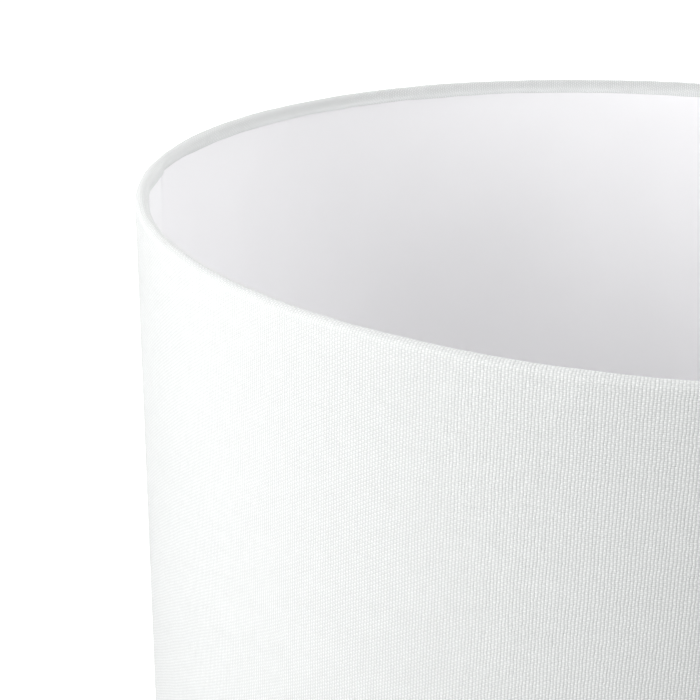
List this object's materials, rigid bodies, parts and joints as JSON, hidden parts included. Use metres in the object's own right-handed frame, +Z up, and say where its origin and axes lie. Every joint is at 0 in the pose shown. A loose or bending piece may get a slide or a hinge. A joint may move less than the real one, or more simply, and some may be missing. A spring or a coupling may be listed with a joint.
{
  "type": "lamp shade",
  "caption": "Straight drum lamp shade of white woven cloth on a plastic liner, with rolled hems over wire rings and a spoked fitter ring near the bottom for the lampholder.",
  "frame": {"origin": "on the shade's axis, level with the lowest edge of the bottom hem", "axes": "+Z up along the shade's axis, from the fitter end to the open top; the sheet's glued seam is at azimuth 191 degrees from +X towards +Y, and the first spoke is along +Y"},
  "size_m": [0.33, 0.33, 0.25],
  "materials": {
    "cloth": "white plain-weave cotton blend, matt",
    "liner": "smooth white styrene sheet, soft satin",
    "tape": "thin double-sided tape",
    "wire": "white powder-coated steel wire",
    "fitter": "white powder-coated steel washer"
  },
  "bodies": {
    "root": {"fabric_cover": "cloth", "liner": "liner", "seam_tape": "tape", "top_ring": "wire", "bottom_ring": "wire", "spoke_1": "wire", "spoke_2": "wire", "spoke_3": "wire", "fitter_ring": "fitter"}
  },
  "joints": []
}
